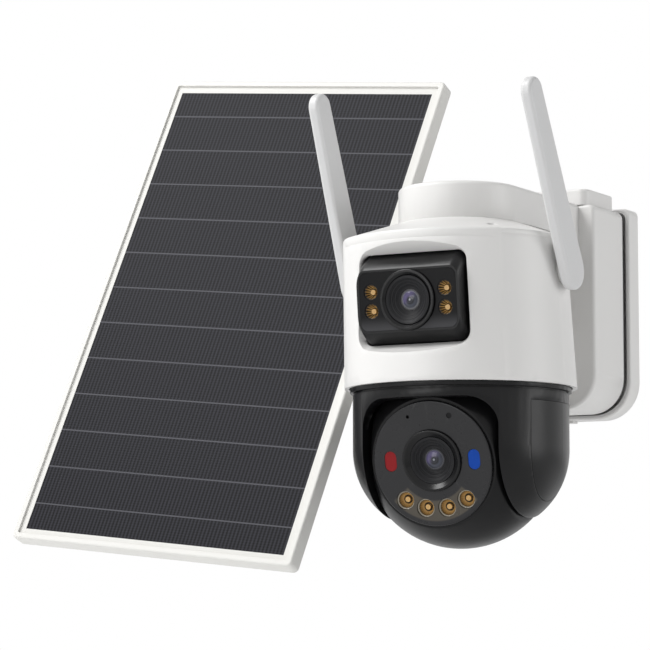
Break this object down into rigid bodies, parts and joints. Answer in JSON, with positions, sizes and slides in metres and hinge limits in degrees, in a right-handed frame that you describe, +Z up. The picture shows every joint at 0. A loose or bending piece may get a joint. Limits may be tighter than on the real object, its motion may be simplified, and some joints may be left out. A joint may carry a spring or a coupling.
{
  "type": "solar-powered security camera",
  "caption": "Battery security camera on a wall arm, with a fixed upper lens, a pan and tilt lower eyeball, folding antennas and a solar panel on its own bracket.",
  "frame": {"origin": "centre of the wall plate's back face, on the wall", "axes": "+Z up, +Y into the wall, the camera looks along -Y, the solar panel stands at -X"},
  "size_m": [0.3455, 0.1971, 0.3022],
  "materials": {
    "white_shell": "satin",
    "grey_antenna": "satin",
    "grey_seal": "matte",
    "black_shell": "satin",
    "black_inner": "matte",
    "black_gloss": "gloss",
    "black_rubber": "matte",
    "steel": "satin",
    "gear_plastic": "satin",
    "gold_reflector": "polished",
    "lens_glass": "polished",
    "lens_black": "satin",
    "red_lens": "gloss",
    "blue_lens": "gloss",
    "board": "satin",
    "cell_wrap": "satin",
    "panel_cells": "gloss",
    "white_bracket": "satin"
  },
  "bodies": {
    "wall_unit": {"wall_plate": "white_shell", "battery_housing": "white_shell", "housing_seal": "grey_seal", "housing_back_cover": "white_shell", "battery_cells": "cell_wrap", "battery_bay_cover": "white_shell", "charge_port": "steel", "power_boards": "board", "arm_shell": "white_shell", "head_shell": "white_shell", "head_top_cap": "white_shell", "case_screws": "steel", "head_chassis": "black_inner", "pan_bearing": "steel", "pan_motor": "steel", "main_board": "board", "speaker": "black_inner", "antenna_hinges": "white_shell", "bracket_wall_base": "white_bracket"},
    "release_latch": {"release_latch": "white_shell"},
    "power_button": {"power_button": "black_rubber"},
    "charge_port_flap": {"charge_port_flap": "black_rubber"},
    "antenna_right": {"antenna_right": "grey_antenna"},
    "antenna_left": {"antenna_left": "grey_antenna"},
    "lens_drum": {"upper_lens_drum": "black_shell", "upper_face_panel": "black_gloss", "upper_led_reflectors": "gold_reflector", "upper_lens_ring": "black_gloss", "upper_lens_barrel": "lens_black", "upper_lens_glass": "lens_glass", "upper_boards": "board"},
    "pan_pinion": {"pan_pinion": "gear_plastic"},
    "yoke": {"yoke_shell": "black_shell", "yoke_covers": "black_shell", "pan_gear": "gear_plastic", "tilt_motor": "steel"},
    "tilt_pinion": {"tilt_pinion": "gear_plastic"},
    "eyeball": {"eyeball_front_shell": "black_shell", "eyeball_rear_shell": "black_shell", "tilt_shafts": "gear_plastic", "signal_light_red": "red_lens", "signal_light_blue": "blue_lens", "face_plate": "black_gloss", "lower_led_reflectors": "gold_reflector", "face_sensors": "black_inner", "lower_lens_ring": "black_gloss", "lower_lens_barrel": "lens_black", "lower_lens_glass": "lens_glass", "lower_boards": "board"},
    "bracket_clamp_screw": {"bracket_clamp_screw": "black_inner"},
    "bracket_fork": {"bracket_fork": "white_bracket", "bracket_pivot_bolt": "steel"},
    "bracket_tongue": {"bracket_tongue": "white_bracket"},
    "solar_panel": {"panel_frame": "white_bracket", "panel_laminate": "panel_cells", "panel_back": "white_bracket", "junction_box": "black_inner", "cable_gland": "black_rubber", "panel_mount_plate": "white_bracket", "panel_screws": "steel"}
  },
  "joints": [
    {"name": "latch_push", "type": "slide", "parent": "wall_unit", "child": "release_latch", "axis": [0, 0, 1], "range_m": [0, 0.003], "stiffness_N_per_m": 200, "springref_m": -0.002},
    {"name": "button_press", "type": "slide", "parent": "wall_unit", "child": "power_button", "axis": [0, 0, 1], "range_m": [0, 0.0008], "stiffness_N_per_m": 400, "springref_m": -0.0005},
    {"name": "flap_swing", "type": "hinge", "parent": "wall_unit", "child": "charge_port_flap", "pos_m": [-0.012, -0.03115, -0.05785], "axis": [1, 0, 0], "range_deg": [0, 100]},
    {"name": "antenna_right_fold", "type": "hinge", "parent": "wall_unit", "child": "antenna_right", "pos_m": [0.064, -0.134, 0.0095], "axis": [1, 0, 0], "range_deg": [-48, 62]},
    {"name": "antenna_left_fold", "type": "hinge", "parent": "wall_unit", "child": "antenna_left", "pos_m": [-0.064, -0.134, 0.0095], "axis": [1, 0, 0], "range_deg": [-42, 68]},
    {"name": "lens_drum_aim", "type": "hinge", "parent": "wall_unit", "child": "lens_drum", "pos_m": [0, -0.17453, -0.00625], "axis": [1, 0, 0], "range_deg": [-6, 6]},
    {"name": "pan", "type": "hinge", "parent": "wall_unit", "child": "yoke", "pos_m": [0, -0.134, -0.06], "axis": [0, 0, 1], "range_deg": [-180, 170]},
    {"name": "pan_pinion_spin", "type": "hinge", "parent": "wall_unit", "child": "pan_pinion", "pos_m": [0, -0.1016, -0.0242], "axis": [0, 0, 1], "range_deg": [-900, 950]},
    {"name": "tilt", "type": "hinge", "parent": "yoke", "child": "eyeball", "pos_m": [0, -0.134, -0.083], "axis": [0.9962, 0.0872, 0], "range_deg": [-13, 62]},
    {"name": "tilt_pinion_spin", "type": "hinge", "parent": "yoke", "child": "tilt_pinion", "pos_m": [0.04483, -0.13008, -0.0648], "axis": [0.9962, 0.0872, 0], "range_deg": [-210, 50]},
    {"name": "clamp_screw_turn", "type": "hinge", "parent": "wall_unit", "child": "bracket_clamp_screw", "pos_m": [-0.1657, -0.014, -0.00724], "axis": [0, 0, 1], "continuous": true},
    {"name": "bracket_swivel", "type": "hinge", "parent": "wall_unit", "child": "bracket_fork", "pos_m": [-0.1657, -0.0696, -0.00724], "axis": [0, 1, 0], "range_deg": [-8, 8]},
    {"name": "bracket_tilt", "type": "hinge", "parent": "bracket_fork", "child": "bracket_tongue", "pos_m": [-0.1657, -0.0696, -0.00724], "axis": [1, 0, 0], "range_deg": [-5, 22.9]},
    {"name": "panel_spin", "type": "hinge", "parent": "bracket_tongue", "child": "solar_panel", "pos_m": [-0.1657, -0.0696, -0.00724], "axis": [0, -0.9212, 0.3891], "range_deg": [-8, 8]}
  ],
  "couplings": [
    {"joint": "pan_pinion_spin", "follows": "pan", "ratio": -5},
    {"joint": "tilt_pinion_spin", "follows": "tilt", "ratio": -3.3333}
  ]
}
